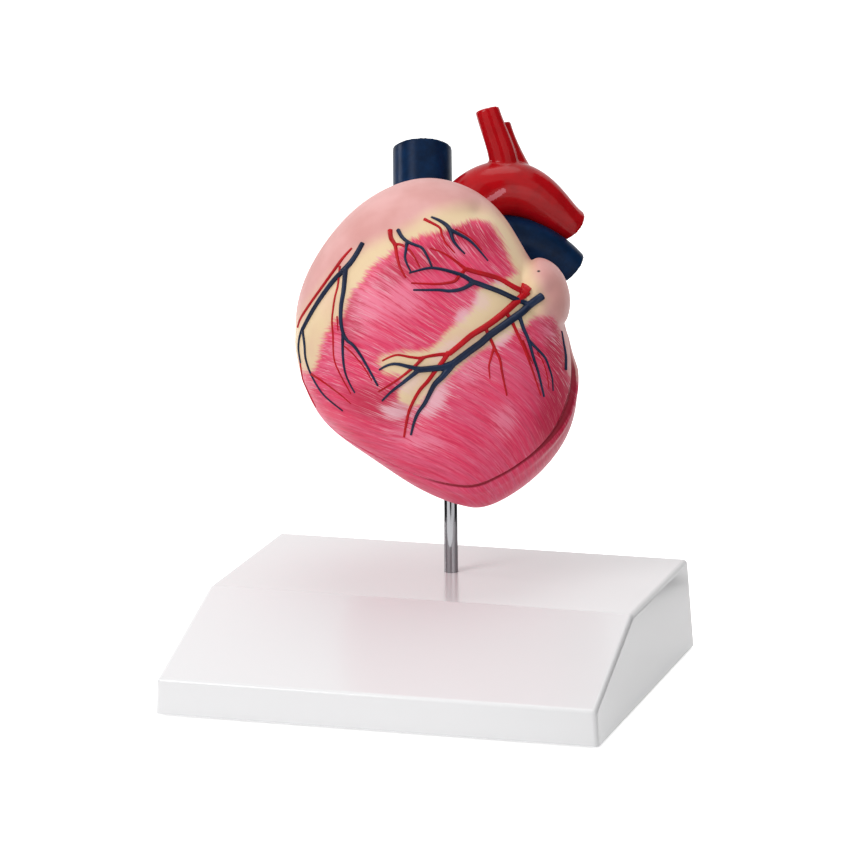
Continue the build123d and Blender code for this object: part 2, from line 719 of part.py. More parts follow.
def coronary_vessels(body):
    """Arteries and veins in relief, the arteries broken where a vein crosses over them."""
    vein_skin = heart_body(vein_relief) - body
    artery_skin = heart_body(artery_relief) - body
    front_side = split(vein_skin, bisect_by=seam_plane(seam_gap), keep=Keep.TOP)
    rear_side = split(vein_skin, bisect_by=seam_plane(-seam_gap), keep=Keep.BOTTOM)
    front_artery_side = split(artery_skin, bisect_by=seam_plane(seam_gap), keep=Keep.TOP)
    rear_artery_side = split(artery_skin, bisect_by=seam_plane(-seam_gap), keep=Keep.BOTTOM)
    trees = {}
    left_vein = coronary_tree(left_vein_px, left_vein_widths, front_side, True)
    right_vein = coronary_tree(right_vein_px, right_vein_widths, front_side, True)
    rear_vein = coronary_tree(rear_vein_px, rear_vein_widths, rear_side, False)
    left_artery = coronary_tree(left_artery_px, left_artery_widths, front_artery_side, True)
    right_artery = coronary_tree(right_artery_px, right_artery_widths, front_artery_side, True)
    rear_artery = coronary_tree(rear_artery_px, rear_artery_widths, rear_artery_side, False)
    trees["left_coronary_vein"] = left_vein
    trees["right_coronary_vein"] = right_vein
    trees["rear_coronary_vein"] = rear_vein
    trees["left_coronary_artery"] = left_artery - left_vein - right_vein
    trees["right_coronary_artery"] = right_artery - right_vein - left_vein
    trees["rear_coronary_artery"] = rear_artery - rear_vein
    return {name: placed(tidy(tree)) for name, tree in trees.items()}


def main():
    body = heart_body(0)
    keep_off = split(heart_body(vessel_keep_off), bisect_by=seam_plane(-vessel_keep_off), keep=Keep.TOP)
    left_space, right_space = ventricle_spaces()
    rear_half, front_half = heart_halves(body)
    tricuspid = leaflet_valve(tricuspid_plane, 3)
    mitral = leaflet_valve(mitral_plane, 2)
    left_pillars = papillary_muscles(left_papillary_root_shares, left_papillary_tip_shares, left_space)
    right_pillars = papillary_muscles(right_papillary_root_shares, right_papillary_tip_shares, right_space)
    left_fixings = (left_pillars, mitral, rear_half)
    right_fixings = (right_pillars, tricuspid, rear_half)
    parts = {
        "base_housing": base_housing(),
        "rubber_feet": rubber_feet(),
        "support_rod": support_rod(),
        "rod_washer": rod_washer(),
        "rod_screw": rod_screw(),
        "rod_sleeve": rod_sleeve(),
        "rear_heart_half": rear_half,
        "front_heart_half": front_half,
        "rear_magnets": magnets(False),
        "front_magnets": magnets(True),
        "dowel_pins": dowel_pins(),
        "tricuspid_valve": tricuspid,
        "mitral_valve": mitral,
        "aortic_valve": cusp_valve(aortic_outflow_shares),
        "pulmonary_valve": cusp_valve(pulmonary_outflow_shares),
        "left_papillary_muscles": left_pillars,
        "right_papillary_muscles": right_pillars,
        "left_heart_cords": heart_cords(mitral_plane, left_papillary_tip_shares, left_fixings),
        "right_heart_cords": heart_cords(tricuspid_plane, right_papillary_tip_shares, right_fixings),
    }
    parts.update(great_vessels(body, keep_off))
    trees = coronary_vessels(body)
    for name in ("rear_coronary_artery", "rear_coronary_vein"):
        trees[name] = tidy(trees[name] - parts["caudal_vena_cava"] - parts["pulmonary_veins"])
    parts.update(trees)
    os.makedirs("parts", exist_ok=True)
    for name, shape in parts.items():
        export_step(shape, f"parts/{name}.step")


main()
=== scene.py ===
import math
import time

import bpy
import numpy as np
from mathutils import Matrix, Vector
from mathutils.bvhtree import BVHTree


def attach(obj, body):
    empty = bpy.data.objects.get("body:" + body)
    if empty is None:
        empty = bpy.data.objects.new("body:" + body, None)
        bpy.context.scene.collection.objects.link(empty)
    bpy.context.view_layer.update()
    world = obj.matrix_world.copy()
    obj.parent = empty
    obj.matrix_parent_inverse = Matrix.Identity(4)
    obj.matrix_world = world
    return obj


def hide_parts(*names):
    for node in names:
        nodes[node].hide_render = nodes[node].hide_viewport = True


started = time.time()
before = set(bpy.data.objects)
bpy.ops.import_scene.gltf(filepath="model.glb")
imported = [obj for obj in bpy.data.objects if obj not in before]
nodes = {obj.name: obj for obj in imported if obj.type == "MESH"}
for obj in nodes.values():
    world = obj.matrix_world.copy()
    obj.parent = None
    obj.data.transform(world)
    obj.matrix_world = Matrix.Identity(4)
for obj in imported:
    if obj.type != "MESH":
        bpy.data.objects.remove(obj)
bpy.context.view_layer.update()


def stamp(text):
    print(f"{time.time() - started:6.1f} s  {text}", flush=True)


# Camera: a long lens whose place was fitted to the stand's corners in the photograph. Lengths are in
# metres, angles in degrees and image places in pixels of an 850 pixel square.
camera = {
    "azimuth": 16.92,
    "elevation": 12.99,
    "roll": -0.60,
    "distance": 1.8249,
    "across": -0.00106,
    "height": 0.09124,
    "focalPixels": 5118.0,
    "imagePixels": 850.0,
    "sensorMillimetres": 36.0,
    "clip": (0.1, 20.0),
}
# Mounting of the heart: the face frame stands where the rod meets the stand, turned and leaned back
mounting = {
    "rodY": 0.027,
    "standTop": 0.0335,
    "turn": 17.0,
    "lean": 13.0,
    "heartCentre": (-0.0054, -0.0200, 0.0824),
}
# Plane where the halves meet: depth at the heart's centre in mm, rise per mm along z and along x
seam = {
    "depth": 0.7,
    "rise": 0.42,
    "slant": -0.175,
}

azimuth, elevation, roll = (math.radians(camera[k]) for k in ("azimuth", "elevation", "roll"))
toCamera = np.array(
    [math.sin(azimuth) * math.cos(elevation), -math.cos(azimuth) * math.cos(elevation), math.sin(elevation)]
)
levelRight = np.array([math.cos(azimuth), math.sin(azimuth), 0.0])
levelUp = np.cross(levelRight, -toCamera)
imageRight = levelRight * math.cos(roll) + levelUp * math.sin(roll)
imageUp = levelUp * math.cos(roll) - levelRight * math.sin(roll)
cameraPlace = levelRight * camera["across"] + levelUp * camera["height"] + toCamera * camera["distance"]
imageMiddle = camera["imagePixels"] / 2


def toPixels(points):
    # Photograph pixels of points given in metres.
    ray = points - cameraPlace
    depth = -(ray @ toCamera)
    across = imageMiddle + camera["focalPixels"] * (ray @ imageRight) / depth
    down = imageMiddle - camera["focalPixels"] * (ray @ imageUp) / depth
    return np.stack([across, down], 1)


def rayThrough(pixel):
    # Direction from the camera through a pixel of the photograph.
    across = (pixel[0] - imageMiddle) / camera["focalPixels"]
    down = (pixel[1] - imageMiddle) / camera["focalPixels"]
    return Vector(imageRight * across - imageUp * down - toCamera).normalized()


faceTurn = Matrix.Rotation(math.radians(mounting["turn"]), 3, "Z")
faceLean = Matrix.Rotation(math.radians(-mounting["lean"]), 3, "X")
faceAxes = np.array(faceTurn @ faceLean)
rodFoot = np.array([0.0, mounting["rodY"], mounting["standTop"]])


def toFace(points):
    # Millimetres from the heart's centre, in the heart's own frame: x right, y away, z up.
    return ((points - rodFoot) @ faceAxes - np.array(mounting["heartCentre"])) * 1000.0


def setUpCamera():
    data = bpy.data.cameras.new("camera")
    data.sensor_width = camera["sensorMillimetres"]
    data.lens = camera["focalPixels"] / camera["imagePixels"] * camera["sensorMillimetres"]
    data.clip_start, data.clip_end = camera["clip"]
    eye = bpy.data.objects.new("camera", data)
    turn = Matrix([[imageRight[i], imageUp[i], toCamera[i]] for i in range(3)])
    eye.matrix_world = Matrix.Translation(Vector(cameraPlace)) @ turn.to_4x4()
    bpy.context.scene.collection.objects.link(eye)
    bpy.context.scene.camera = eye
    bpy.context.scene.view_settings.view_transform = "Standard"


# Node graph helpers


def linear(hexColour):
    # Linear colour from a hex triple.
    parts = [int(hexColour[i : i + 2], 16) / 255 for i in (1, 3, 5)]
    return [*(c / 12.92 if c <= 0.04045 else ((c + 0.055) / 1.055) ** 2.4 for c in parts), 1.0]


class Graph:
    # A material's node tree, built one node at a time.

    def __init__(self, name):
        self.material = bpy.data.materials.new(name)
        self.material.use_nodes = True
        self.tree = self.material.node_tree
        self.tree.nodes.clear()
        self.output = self.tree.nodes.new("ShaderNodeOutputMaterial")

    def node(self, kind, inputs=None, **settings):
        made = self.tree.nodes.new("ShaderNode" + kind)
        for key, value in settings.items():
            setattr(made, key, value)
        for key, value in (inputs or {}).items():
            self.put(made.inputs[key], value)
        return made

    def put(self, socket, value):
        if isinstance(value, bpy.types.NodeSocket):
            self.tree.links.new(value, socket)
        elif isinstance(value, bpy.types.Node):
            self.tree.links.new(value.outputs[0], socket)
        elif isinstance(value, str):
            socket.default_value = linear(value)
        else:
            socket.default_value = value

    def attribute(self, name):
        return self.node("Attribute", attribute_name=name).outputs["Fac"]

    def math(self, operation, first, second, third=0.5):
        return self.node("Math", {0: first, 1: second, 2: third}, operation=operation).outputs[0]

    def step(self, value, low, high):
        # Smooth step from 0 at low to 1 at high.
        inputs = {"Value": value, "From Min": low, "From Max": high, "To Min": 0.0, "To Max": 1.0}
        return self.node("MapRange", inputs, interpolation_type="SMOOTHSTEP").outputs[0]

    def mix(self, share, first, second):
        made = self.node("Mix", data_type="RGBA")
        self.put(made.inputs["Factor"], share)
        self.put(made.inputs[6], first)
        self.put(made.inputs[7], second)
        return made.outputs[2]

    def noise(self, vector, scale=1.0, detail=2.0, roughness=0.5):
        inputs = {"Vector": vector, "Scale": scale, "Detail": detail, "Roughness": roughness}
        return self.node("TexNoise", inputs).outputs[0]

    def place(self, scale):
        # Object coordinates in millimetres, times the scale.
        where = self.node("TexCoord").outputs["Object"]
        factor = (1000 * scale,) * 3
        return self.node("VectorMath", {0: where, 1: factor}, operation="MULTIPLY").outputs[0]

    def bump(self, height, strength, distance):
        inputs = {"Height": height, "Strength": strength, "Distance": distance}
        return self.node("Bump", inputs).outputs[0]

    def finish(self, inputs):
        shader = self.node("BsdfPrincipled", inputs)
        self.put(self.output.inputs["Surface"], shader)
        return self.material


def setMaterial(obj, material):
    obj.data.materials.clear()
    obj.data.materials.append(material)


# Mesh helpers


def vertexPlaces(mesh):
    flat = np.empty(len(mesh.vertices) * 3)
    mesh.vertices.foreach_get("co", flat)
    return flat.reshape(-1, 3)


def vertexNormals(mesh):
    flat = np.empty(len(mesh.vertices) * 3)
    mesh.vertices.foreach_get("normal", flat)
    return flat.reshape(-1, 3)


def setPlaces(mesh, places):
    mesh.vertices.foreach_set("co", places.ravel())
    mesh.update()


def addAttribute(mesh, name, values):
    made = mesh.attributes.new(name, "FLOAT", "POINT")
    made.data.foreach_set("value", values.astype(np.float32))


def smoothShade(mesh):
    mesh.polygons.foreach_set("use_smooth", np.ones(len(mesh.polygons), bool))
    mesh.update()


def baked(obj, name):
    # A new object with the modifiers of another one applied. The other one is removed.
    mesh = bpy.data.meshes.new_from_object(obj.evaluated_get(bpy.context.evaluated_depsgraph_get()))
    mesh.name = name
    old = obj.data
    bpy.data.objects.remove(obj)
    if isinstance(old, bpy.types.Curve):
        bpy.data.curves.remove(old)
    made = bpy.data.objects.new(name, mesh)
    bpy.context.scene.collection.objects.link(made)
    return made


def remeshed(source, name, voxel, rounds):
    # A voxel copy of an object with its creases rounded off.
    work = bpy.data.objects.new(name + "_work", source.data.copy())
    bpy.context.scene.collection.objects.link(work)
    remesh = work.modifiers.new("remesh", "REMESH")
    remesh.mode = "VOXEL"
    remesh.voxel_size = voxel
    smooth = work.modifiers.new("smooth", "SMOOTH")
    smooth.factor = 0.5
    smooth.iterations = rounds
    made = baked(work, name)
    smoothShade(made.data)
    return made


def surfaceOf(*objects):
    # One ray-cast tree of several meshes.
    places, faces, start = [], [], 0
    for obj in objects:
        places.append(vertexPlaces(obj.data))
        faces += [tuple(start + i for i in p.vertices) for p in obj.data.polygons]
        start += len(obj.data.vertices)
    return BVHTree.FromPolygons([Vector(p) for p in np.concatenate(places)], faces)


# Regions and lines of the paint, read off the photograph, in its pixels

musclePatch = [
    (405, 241), (413, 238), (425, 235), (437, 232), (447, 229), (455, 226), (465, 221), (478, 218),
    (490, 221), (497, 231), (503, 243), (508, 255), (513, 266), (517, 273), (508, 279), (492, 285),
    (478, 291), (478, 300), (470, 312), (462, 320), (452, 328), (443, 336), (437, 344), (430, 350),
    (412, 352), (396, 352), (378, 358), (384, 372), (398, 376), (404, 382), (399, 392), (399, 402),
    (409, 409), (419, 405), (431, 392), (441, 383), (455, 371), (470, 358), (482, 349), (496, 343),
    (507, 336), (513, 331), (519, 330), (526, 325), (533, 319), (543, 317), (553, 317), (558, 325),
    (562, 336), (565, 347), (566, 366), (575, 385), (620, 400), (590, 520), (470, 560), (330, 520),
    (270, 400), (290, 368), (308, 372), (313, 372), (317, 362), (320, 352), (322, 344), (326, 334),
    (331, 325), (335, 319), (344, 315), (346, 306), (349, 298), (355, 289), (362, 281), (366, 273),
    (372, 266), (385, 256), (397, 249),
]
fatBand = [
    (346, 270), (357, 256), (370, 248), (385, 241), (400, 234), (415, 226), (428, 216), (440, 212),
    (452, 210), (470, 208), (482, 208), (492, 211), (503, 218), (512, 226), (519, 238), (526, 252),
    (529, 264), (532, 276), (540, 290), (545, 300), (540, 312), (532, 322), (520, 334), (505, 346),
    (490, 355), (470, 366), (455, 378), (440, 392), (425, 405), (410, 410), (396, 400), (380, 380),
    (366, 352), (350, 330), (336, 340), (324, 356), (316, 374), (308, 378), (300, 366), (290, 350),
    (286, 330), (299, 322), (310, 306), (323, 290), (335, 276),
]
rearMuscle = [
    (250, 352), (300, 352), (330, 338), (368, 326), (408, 322), (414, 336), (424, 356), (436, 382),
    (450, 410), (462, 434), (472, 452), (480, 450), (478, 428), (470, 402), (460, 374), (450, 346),
    (446, 322), (480, 318), (520, 328), (556, 340), (640, 344), (640, 600), (250, 600),
]
rearFat = [
    (250, 322), (300, 322), (330, 308), (368, 296), (420, 288), (480, 288), (524, 298), (560, 312),
    (640, 316), (640, 352), (556, 350), (520, 340), (480, 330), (456, 334), (470, 372), (486, 420),
    (486, 462), (470, 462), (446, 424), (424, 380), (404, 336), (368, 338), (330, 350), (300, 364),
    (250, 364),
]
# Direction of the painted fibres: place in pixels, and degrees clockwise from the right
fibreAngles = [
    (345, 300, 24), (360, 285, 32), (370, 320, 35), (400, 300, 42), (430, 265, 52), (400, 340, 33),
    (440, 310, 48), (470, 250, 58), (500, 250, 64), (506, 272, 66), (420, 245, 50), (355, 340, 20),
    (460, 290, 53), (325, 340, 14), (330, 360, 11), (345, 370, 9), (330, 400, 6), (380, 400, 3),
    (360, 430, 6), (400, 430, 9), (420, 460, 12), (440, 410, 12), (440, 432, 13), (470, 380, 27),
    (452, 372, 24), (480, 400, 29), (460, 450, 15), (480, 450, 24), (500, 380, 40), (500, 405, 38),
    (520, 360, 50), (540, 370, 60), (555, 392, 76), (552, 425, 92), (530, 400, 55), (524, 430, 58),
    (540, 448, 84), (502, 458, 45), (470, 472, 15), (440, 482, 12), (560, 342, 66), (540, 328, 60),
]
# Soft patches of tint, painted highlight and painted shade: middle in pixels, radii in pixels, turn in
# degrees
paleSpots = [
    ((436, 398), (13, 26), 28), ((503, 339), (17, 7), -38), ((501, 283), (9, 5), 20),
    ((410, 384), (15, 9), -40), ((446, 350), (24, 8), -38), ((482, 300), (10, 12), 0),
    ((462, 316), (12, 8), -40), ((395, 412), (18, 10), 10),
]
# Lighter pink paint; the spot at (503, 420) is a painted highlight on the left ventricle's swelling
lightAndHighlightSpots = [
    ((368, 306), (20, 34), 20), ((408, 300), (20, 20), 0), ((338, 352), (10, 16), 0),
    ((460, 250), (14, 8), 0), ((503, 420), (12, 17), 12), ((470, 372), (20, 14), -30),
    ((420, 440), (30, 12), 10), ((548, 330), (8, 8), 0),
]
# Deeper crimson paint; the two spots near x 556 are painted shade that darkens the heart's right edge
deepAndShadeSpots = [
    ((352, 320), (12, 30), 8), ((470, 238), (34, 15), 8), ((378, 402), (34, 20), 5),
    ((556, 345), (12, 30), -10), ((556, 420), (22, 50), 15), ((430, 258), (26, 12), -20),
    ((395, 275), (22, 12), -30),
]


def edgeDistance(points, polygon):
    # Distance to a closed border in pixels, positive inside it.
    corners = np.array(polygon, float)
    nearest = np.full(len(points), 1e9)
    inside = np.zeros(len(points), bool)
    for start, end in zip(corners, np.roll(corners, -1, axis=0)):
        side = end - start
        offset = points - start
        share = np.clip((offset @ side) / (side @ side), 0, 1)
        nearest = np.minimum(nearest, np.linalg.norm(offset - share[:, None] * side, axis=1))
        crosses = (start[1] > points[:, 1]) != (end[1] > points[:, 1])
        if side[1]:
            inside ^= crosses & (points[:, 0] < start[0] + side[0] * (points[:, 1] - start[1]) / side[1])
    return np.where(inside, nearest, -nearest)


def lineDistance(points, line):
    # Distance in pixels to an open line.
    nearest = np.full(len(points), 1e9)
    corners = np.array(line, float)
    for start, end in zip(corners[:-1], corners[1:]):
        side = end - start
        offset = points - start
        share = np.clip((offset @ side) / (side @ side), 0, 1)
        nearest = np.minimum(nearest, np.linalg.norm(offset - share[:, None] * side, axis=1))
    return nearest


def spots(points, table):
    # Sum of soft oval patches, from 0 to 1.
    total = np.zeros(len(points))
    for middle, radii, turn in table:
        angle = math.radians(turn)
        offset = points - np.array(middle)
        along = offset[:, 0] * math.cos(angle) + offset[:, 1] * math.sin(angle)
        across = offset[:, 1] * math.cos(angle) - offset[:, 0] * math.sin(angle)
        total += np.exp(-((along / radii[0]) ** 2 + (across / radii[1]) ** 2))
    return np.clip(total, 0, 1)


# The heart's middle and half size in pixels, over which the fibres' direction is a smooth surface
fibreField = {
    "middle": (436, 341),
    "half": (140, 165),
    "terms": 5,
    "stiffness": 0.0004,
    "low": (285, 165),
    "high": (590, 515),
}


def monomials(points):
    # Terms of a smooth surface over the picture, with their slopes.
    wide, tall = fibreField["half"]
    x = (points[:, 0] - fibreField["middle"][0]) / wide
    y = (points[:, 1] - fibreField["middle"][1]) / tall
    terms, slopeX, slopeY = [], [], []
    for i in range(fibreField["terms"]):
        for j in range(fibreField["terms"] - i):
            if i + j:
                terms.append(x**i * y**j)
                slopeX.append(i * x ** max(i - 1, 0) * y**j / wide)
                slopeY.append(j * x**i * y ** max(j - 1, 0) / tall)
    return (np.stack(t, 1) for t in (terms, slopeX, slopeY))


def fibreCoordinates(points):
    # Two smooth coordinates in pixels, along the painted fibres and across them.
    known = np.array(fibreAngles, float)
    angle = np.radians(known[:, 2])
    _, slopeX, slopeY = monomials(known[:, :2])
    slopes = np.concatenate([slopeX, slopeY, fibreField["stiffness"] * np.eye(slopeX.shape[1])])
    still = np.zeros(slopeX.shape[1])
    terms, _, _ = monomials(np.clip(points, fibreField["low"], fibreField["high"]))
    found = []
    for wantX, wantY in ((np.cos(angle), np.sin(angle)), (-np.sin(angle), np.cos(angle))):
        weights = np.linalg.lstsq(slopes, np.concatenate([wantX, wantY, still]), rcond=None)[0]
        found.append(terms @ weights)
    return found


# Relief on the skin of the front: swellings and grooves, heights in mm, places and spreads in pixels
swellings = [
    ((505, 415), (46, 50), 0, 1.5),
    ((385, 315), (44, 60), 15, 1.1),
    ((447, 207), (20, 9), -14, 1.1),
    ((360, 225), (40, 26), -45, 0.7),
    ((470, 245), (36, 20), 8, 0.5),
]
grooves = [
    ([(552, 290), (530, 298), (505, 318), (480, 338), (452, 360), (428, 388), (411, 412),
      (404, 438)], 11, 1.3),
    ([(296, 330), (318, 298), (342, 268), (366, 248), (400, 230), (430, 212), (455, 214),
      (480, 209)], 9, 0.9),
    ([(480, 209), (500, 216), (515, 234), (528, 262), (534, 292)], 8, 1.0),
    ([(530, 252), (533, 275), (540, 292), (552, 312), (568, 330)], 5, 0.4),
]
seamLine = [
    (571, 372), (567, 388), (562, 404), (558, 418), (552, 432), (545, 443), (533, 457), (520, 467),
    (505, 477), (490, 483), (475, 486), (460, 486), (446, 483),
]
wideSeamSpots = [((565, 398), (22, 44), 12)]
# Painted shade: a soft patch that darkens the auricle on the heart's right side
auricleShadeSpots = [((558, 296), (17, 34), -8)]
# A small dark dot on the skin: pixel, radius in metres and colour
darkDot = {
    "pixel": (538.6, 270.6),
    "radius": 0.00042,
    "colour": "#3A2A26",
}
# Each half. Voxel and rays are in metres, the relief and depths in mm, and seamSpread is in pixels.
halfLook = {
    "voxel": 0.00055,
    "smoothRounds": 4,
    "seamGroove": 0.75,
    "seamGrooveWidth": 0.6,
    "hiddenSeamGroove": 0.25,
    "rimSwell": 0.5,
    "wideRimSwell": 1.4,
    "wideSeamBand": 1.5,
    "rimFromSeam": 3.4,
    "rimSpread": 2.2,
    "seamSpread": 16,
    "seamShownDepth": 10,
    "cutDepth": 0.8,
    "reliefFade": 6,
    "paintFade": (-3, 9),
    "lightAndHighlightShare": 0.36,
    "rayLift": 0.0009,
    "rayReach": 0.045,
    "triangles": 190000,
}


def blendStep(values, low, high):
    share = np.clip((values - low) / (high - low), 0, 1)
    return share * share * (3 - 2 * share)


def heartHalf(node, name, closedSurface):
    # A painted half: a fine copy of the casting with its relief, and what its paint needs on each vertex.
    half = remeshed(nodes[node], name, halfLook["voxel"], halfLook["smoothRounds"])
    mesh = half.data
    places, normals = vertexPlaces(mesh), vertexNormals(mesh)
    inner = np.zeros(len(places))
    for i, (place, normal) in enumerate(zip(places, normals)):
        start = Vector(place) + Vector(normal) * halfLook["rayLift"]
        hit = closedSurface.ray_cast(start, Vector(normal), halfLook["rayReach"])
        inner[i] = 1.0 if hit[0] is not None else 0.0
    face = toFace(places)
    seamY = seam["depth"] + seam["rise"] * face[:, 2] + seam["slant"] * face[:, 0]
    steep = math.sqrt(1 + seam["rise"] ** 2 + seam["slant"] ** 2)
    fromSeam = (seamY - face[:, 1]) / steep
    cut = (np.abs(fromSeam) < halfLook["cutDepth"]).astype(float)
    outer = 1 - inner
    pixels = toPixels(places)
    height = np.zeros(len(places))
    frontShare = 1 - blendStep(face[:, 1], -halfLook["reliefFade"], halfLook["reliefFade"])
    for middle, radii, turn, rise in swellings:
        height += rise * spots(pixels, [(middle, radii, turn)])
    for line, spread, depth in grooves:
        height -= depth * np.exp(-((lineDistance(pixels, line) / spread) ** 2))
    height *= frontShare
    onSeam = np.exp(-((lineDistance(pixels, seamLine) / halfLook["seamSpread"]) ** 2))
    onSeam *= face[:, 1] < halfLook["seamShownDepth"]
    wideSeam = spots(pixels, wideSeamSpots)
    hidden = halfLook["hiddenSeamGroove"]
    grooveDepth = hidden + (halfLook["seamGroove"] - hidden) * onSeam
    height -= grooveDepth * np.exp(-((fromSeam / halfLook["seamGrooveWidth"]) ** 2))
    if node == "rear_heart_half":
        swell = halfLook["rimSwell"] + halfLook["wideRimSwell"] * wideSeam
        fromRim = (np.abs(fromSeam) - halfLook["rimFromSeam"]) / halfLook["rimSpread"]
        height += swell * onSeam * np.exp(-(fromRim**2))
    seamNormal = faceAxes @ np.array([seam["slant"], -1, seam["rise"]]) / steep
    facing = 1 - np.clip(np.abs(normals @ seamNormal), 0, 1) ** 6
    setPlaces(mesh, places + normals * (height * outer * facing / 1000)[:, None])
    along, across = fibreCoordinates(pixels)
    front = edgeDistance(pixels, musclePatch)
    rear = edgeDistance(pixels, rearMuscle)
    rearShare = blendStep(face[:, 1], *halfLook["paintFade"])
    addAttribute(mesh, "muscle", front * (1 - rearShare) + rear * rearShare)
    frontFat = edgeDistance(pixels, fatBand)
    rearFatShare = edgeDistance(pixels, rearFat)
    addAttribute(mesh, "fat", frontFat * (1 - rearShare) + rearFatShare * rearShare)
    for label, table, most in (
        ("pale", paleSpots, 1),
        ("deepAndShade", deepAndShadeSpots, 1),
        ("light", lightAndHighlightSpots, halfLook["lightAndHighlightShare"]),
        ("auricleShade", auricleShadeSpots, 1),
    ):
        addAttribute(mesh, label, spots(pixels, table) * (1 - rearShare) * most)
    addAttribute(mesh, "along", along)
    addAttribute(mesh, "across", across)
    addAttribute(mesh, "depth", face[:, 1])
    addAttribute(mesh, "side", face[:, 0])
    addAttribute(mesh, "inner", inner)
    addAttribute(mesh, "cut", cut * inner)
    addAttribute(mesh, "seam", np.abs(fromSeam) - halfLook["wideSeamBand"] * wideSeam)
    addAttribute(mesh, "seamShown", onSeam)
    thin = half.modifiers.new("thin", "DECIMATE")
    thin.ratio = halfLook["triangles"] / sum(len(face.vertices) - 2 for face in mesh.polygons)
    half = baked(half, name)
    smoothShade(half.data)
    return half


# Paint of the castings, with painted shade and a painted highlight: colours of each region and how far the
# strokes run past a border, in pixels
skinPaint = {
    "muscle": "#E33660",
    # light pink, used for lighter strokes and for the painted highlight
    "muscleLightAndHighlight": "#F08BA5",
    "muscleMiddle": "#E5577C",
    # deep crimson, used for deeper paint and for painted shade on the right
    "muscleDeepAndShade": "#BF2345",
    "fat": "#E9CEA6",
    "fatPink": "#E4B9A2",
    "atrium": "#E7B1AE",
    "atriumDeep": "#D99D98",
    "pale": "#F0C9D2",
    # dark red seam paint, partly painted shade in the groove between the halves
    "seamRedAndShade": "#8E0A28",
    # darker beige for the painted shade on the auricle
    "auricleShade": "#C78A82",
    "cutFace": "#B5304A",
    "chamberLeft": "#E7A79C",
    "chamberRight": "#C79BA6",
    "strokeReach": 13.0,
    "roughness": 0.42,
    "gloss": 0.22,
}


